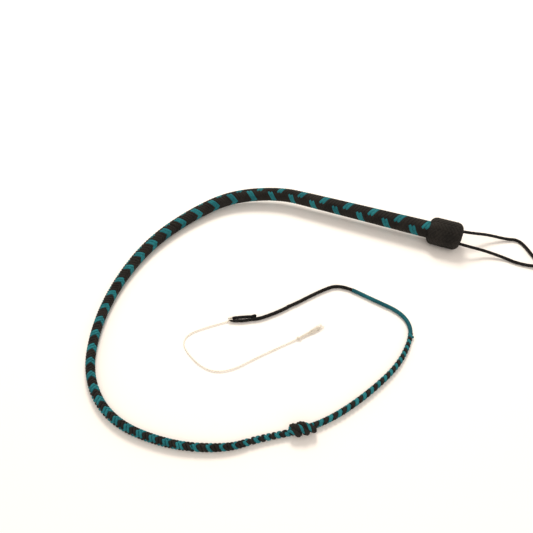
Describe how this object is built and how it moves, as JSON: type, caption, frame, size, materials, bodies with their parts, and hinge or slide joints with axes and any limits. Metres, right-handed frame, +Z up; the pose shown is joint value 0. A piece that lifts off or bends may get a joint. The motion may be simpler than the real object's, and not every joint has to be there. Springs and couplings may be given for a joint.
{
  "type": "bullwhip",
  "caption": "Coiled plaited nylon bullwhip: stiff handle with a woven heel knot and wrist loop, tapering thong, hitch knot, fall cord and white cracker.",
  "frame": {"origin": "on the ground, under the middle of the handle between its butt face and the rounded front end of its plait; the heel knot rests on the ground", "axes": "+X along the handle towards the butt, +Z up from the ground, +Y away from the coil"},
  "size_m": [0.5214, 0.4205, 0.0369],
  "materials": {
    "steel_rod": "bright drawn",
    "binding_tape": "waxed thread and cloth tape",
    "shot_cord": "nylon sheath packed with small steel shot",
    "inner_plait": "plaited nylon cord",
    "teal_black_plait": "plaited teal and black nylon cord",
    "black_nylon_weave": "interwoven black nylon cord",
    "teal_cord": "teal nylon cord sheath",
    "black_cord": "round black nylon cord",
    "white_cord": "twisted white nylon thread"
  },
  "bodies": {
    "handle": {"handle_belly_plait": "inner_plait", "handle_binding": "binding_tape", "handle_overlay_plait": "teal_black_plait", "handle_rod": "steel_rod", "heel_knot_cover": "black_nylon_weave", "heel_knot_foundation": "inner_plait", "wrist_loop_anchor": "black_cord"},
    "wrist_loop_near": {"wrist_loop_lower_leg": "black_cord", "wrist_loop_upper_leg": "black_cord"},
    "wrist_loop_far": {"wrist_loop_knot": "black_cord", "wrist_loop_lower_end": "black_cord", "wrist_loop_upper_end": "black_cord"},
    "thong_1": {"thong_1_belly_plait": "inner_plait", "thong_1_overlay_plait": "teal_black_plait", "thong_1_shot_core": "shot_cord"},
    "thong_2": {"thong_2_belly_plait": "inner_plait", "thong_2_overlay_plait": "teal_black_plait", "thong_2_shot_core": "shot_cord"},
    "thong_3": {"thong_3_belly_plait": "inner_plait", "thong_3_overlay_plait": "teal_black_plait", "thong_3_shot_core": "shot_cord"},
    "thong_4": {"thong_4_belly_plait": "inner_plait", "thong_4_overlay_plait": "teal_black_plait"},
    "thong_5": {"thong_5_belly_plait": "inner_plait", "thong_5_overlay_plait": "teal_black_plait"},
    "thong_6": {"thong_6_belly_plait": "inner_plait", "thong_6_overlay_plait": "teal_black_plait"},
    "thong_7": {"thong_7_belly_plait": "inner_plait", "thong_7_overlay_plait": "teal_black_plait"},
    "thong_8": {"thong_8_belly_plait": "inner_plait", "thong_8_overlay_plait": "teal_black_plait"},
    "hitch": {"hitch_knot": "teal_black_plait", "hitch_plait": "teal_black_plait"},
    "point_1": {"point_1_plait": "teal_black_plait"},
    "point_2": {"point_2_plait": "teal_black_plait"},
    "point_3": {"point_3_plait": "teal_black_plait"},
    "point_4": {"point_4_end_bump": "teal_black_plait", "point_4_plait": "teal_black_plait"},
    "sleeve_1": {"sleeve_1_cord": "teal_cord"},
    "sleeve_2": {"sleeve_2_cord": "teal_cord"},
    "fall_1": {"fall_1_cord": "black_cord"},
    "fall_2": {"fall_2_cord": "black_cord"},
    "fall_3": {"fall_3_cord": "black_cord", "fall_end_bump": "black_cord", "fall_eye": "black_cord"},
    "cracker_1": {"cracker_1_cord": "white_cord"},
    "cracker_2": {"cracker_2_cord": "white_cord"},
    "cracker_3": {"cracker_3_cord": "white_cord"},
    "cracker_4": {"cracker_4_cord": "white_cord", "cracker_knot": "white_cord", "cracker_tuft": "white_cord"}
  },
  "joints": [
    {"name": "wrist_loop_swing", "type": "hinge", "parent": "handle", "child": "wrist_loop_near", "pos_m": [0.1065, 0, 0.0183], "axis": [0, 0, 1], "range_deg": [-20, 20]},
    {"name": "wrist_loop_fold", "type": "hinge", "parent": "wrist_loop_near", "child": "wrist_loop_far", "pos_m": [0.1675, 0.018, 0.0028], "axis": [0, -1, 0], "range_deg": [0, 60]},
    {"name": "thong_1_bend", "type": "hinge", "parent": "handle", "child": "thong_1", "pos_m": [-0.0965, 0, 0.0183], "axis": [0, 0, 1], "range_deg": [-35, 3]},
    {"name": "thong_2_bend", "type": "hinge", "parent": "thong_1", "child": "thong_2", "pos_m": [-0.232, -0.053, 0.01142], "axis": [0, 0, 1], "range_deg": [-40, 3]},
    {"name": "thong_3_bend", "type": "hinge", "parent": "thong_2", "child": "thong_3", "pos_m": [-0.282, -0.1775, 0.008], "axis": [0, 0, 1], "range_deg": [-40, 3]},
    {"name": "thong_4_bend", "type": "hinge", "parent": "thong_3", "child": "thong_4", "pos_m": [-0.262, -0.3095, 0.00655], "axis": [0, 0, 1], "range_deg": [-40, 3]},
    {"name": "thong_5_bend", "type": "hinge", "parent": "thong_4", "child": "thong_5", "pos_m": [-0.2235, -0.3575, 0.00555], "axis": [0, 0, 1], "range_deg": [-40, 3]},
    {"name": "thong_6_bend", "type": "hinge", "parent": "thong_5", "child": "thong_6", "pos_m": [-0.165, -0.3755, 0.00495], "axis": [0, 0, 1], "range_deg": [-35, 3]},
    {"name": "thong_7_bend", "type": "hinge", "parent": "thong_6", "child": "thong_7", "pos_m": [-0.104, -0.3675, 0.0045], "axis": [0, 0, 1], "range_deg": [-25, 3]},
    {"name": "thong_8_bend", "type": "hinge", "parent": "thong_7", "child": "thong_8", "pos_m": [-0.0635, -0.34875, 0.004], "axis": [0, 0, 1], "range_deg": [-15, 3]},
    {"name": "hitch_bend", "type": "hinge", "parent": "thong_8", "child": "hitch", "pos_m": [-0.0315, -0.32675, 0.0037], "axis": [0, 0, 1], "range_deg": [-10, 3]},
    {"name": "point_1_bend", "type": "hinge", "parent": "hitch", "child": "point_1", "pos_m": [0.0015, -0.3025, 0.00375], "axis": [0, 0, 1], "range_deg": [-25, 3]},
    {"name": "point_2_bend", "type": "hinge", "parent": "point_1", "child": "point_2", "pos_m": [0.0295, -0.27, 0.00375], "axis": [0, 0, 1], "range_deg": [-25, 3]},
    {"name": "point_3_bend", "type": "hinge", "parent": "point_2", "child": "point_3", "pos_m": [0.0545, -0.229, 0.00355], "axis": [0, 0, 1], "range_deg": [-25, 3]},
    {"name": "point_4_bend", "type": "hinge", "parent": "point_3", "child": "point_4", "pos_m": [0.069, -0.19, 0.0032], "axis": [0, 0, 1], "range_deg": [-30, 3]},
    {"name": "sleeve_1_bend", "type": "hinge", "parent": "point_4", "child": "sleeve_1", "pos_m": [0.071, -0.161, 0.00295], "axis": [0, 0, 1], "range_deg": [-60, 3]},
    {"name": "sleeve_2_bend", "type": "hinge", "parent": "sleeve_1", "child": "sleeve_2", "pos_m": [0.0375, -0.132, 0.0029], "axis": [0, 0, 1], "range_deg": [-45, 3]},
    {"name": "fall_1_bend", "type": "hinge", "parent": "sleeve_2", "child": "fall_1", "pos_m": [-0.0015, -0.124, 0.00278], "axis": [0, 0, 1], "range_deg": [-50, 3]},
    {"name": "fall_2_bend", "type": "hinge", "parent": "fall_1", "child": "fall_2", "pos_m": [-0.0605, -0.1585, 0.00265], "axis": [0, 0, 1], "range_deg": [-45, 3]},
    {"name": "fall_3_bend", "type": "hinge", "parent": "fall_2", "child": "fall_3", "pos_m": [-0.09075, -0.1915, 0.00265], "axis": [0, 0, 1], "range_deg": [-10, 8]},
    {"name": "cracker_1_bend", "type": "hinge", "parent": "fall_3", "child": "cracker_1", "pos_m": [-0.1291, -0.2148, 0.00135], "axis": [0, 0, 1], "range_deg": [-60, 3]},
    {"name": "cracker_2_bend", "type": "hinge", "parent": "cracker_1", "child": "cracker_2", "pos_m": [-0.17075, -0.26275, 0.00135], "axis": [0, 0, 1], "range_deg": [-30, 3]},
    {"name": "cracker_3_bend", "type": "hinge", "parent": "cracker_2", "child": "cracker_3", "pos_m": [-0.1185, -0.283, 0.00135], "axis": [0, 0, 1], "range_deg": [-40, 3]},
    {"name": "cracker_4_bend", "type": "hinge", "parent": "cracker_3", "child": "cracker_4", "pos_m": [-0.06575, -0.2305, 0.00135], "axis": [0, 0, 1], "range_deg": [-35, 3]}
  ]
}
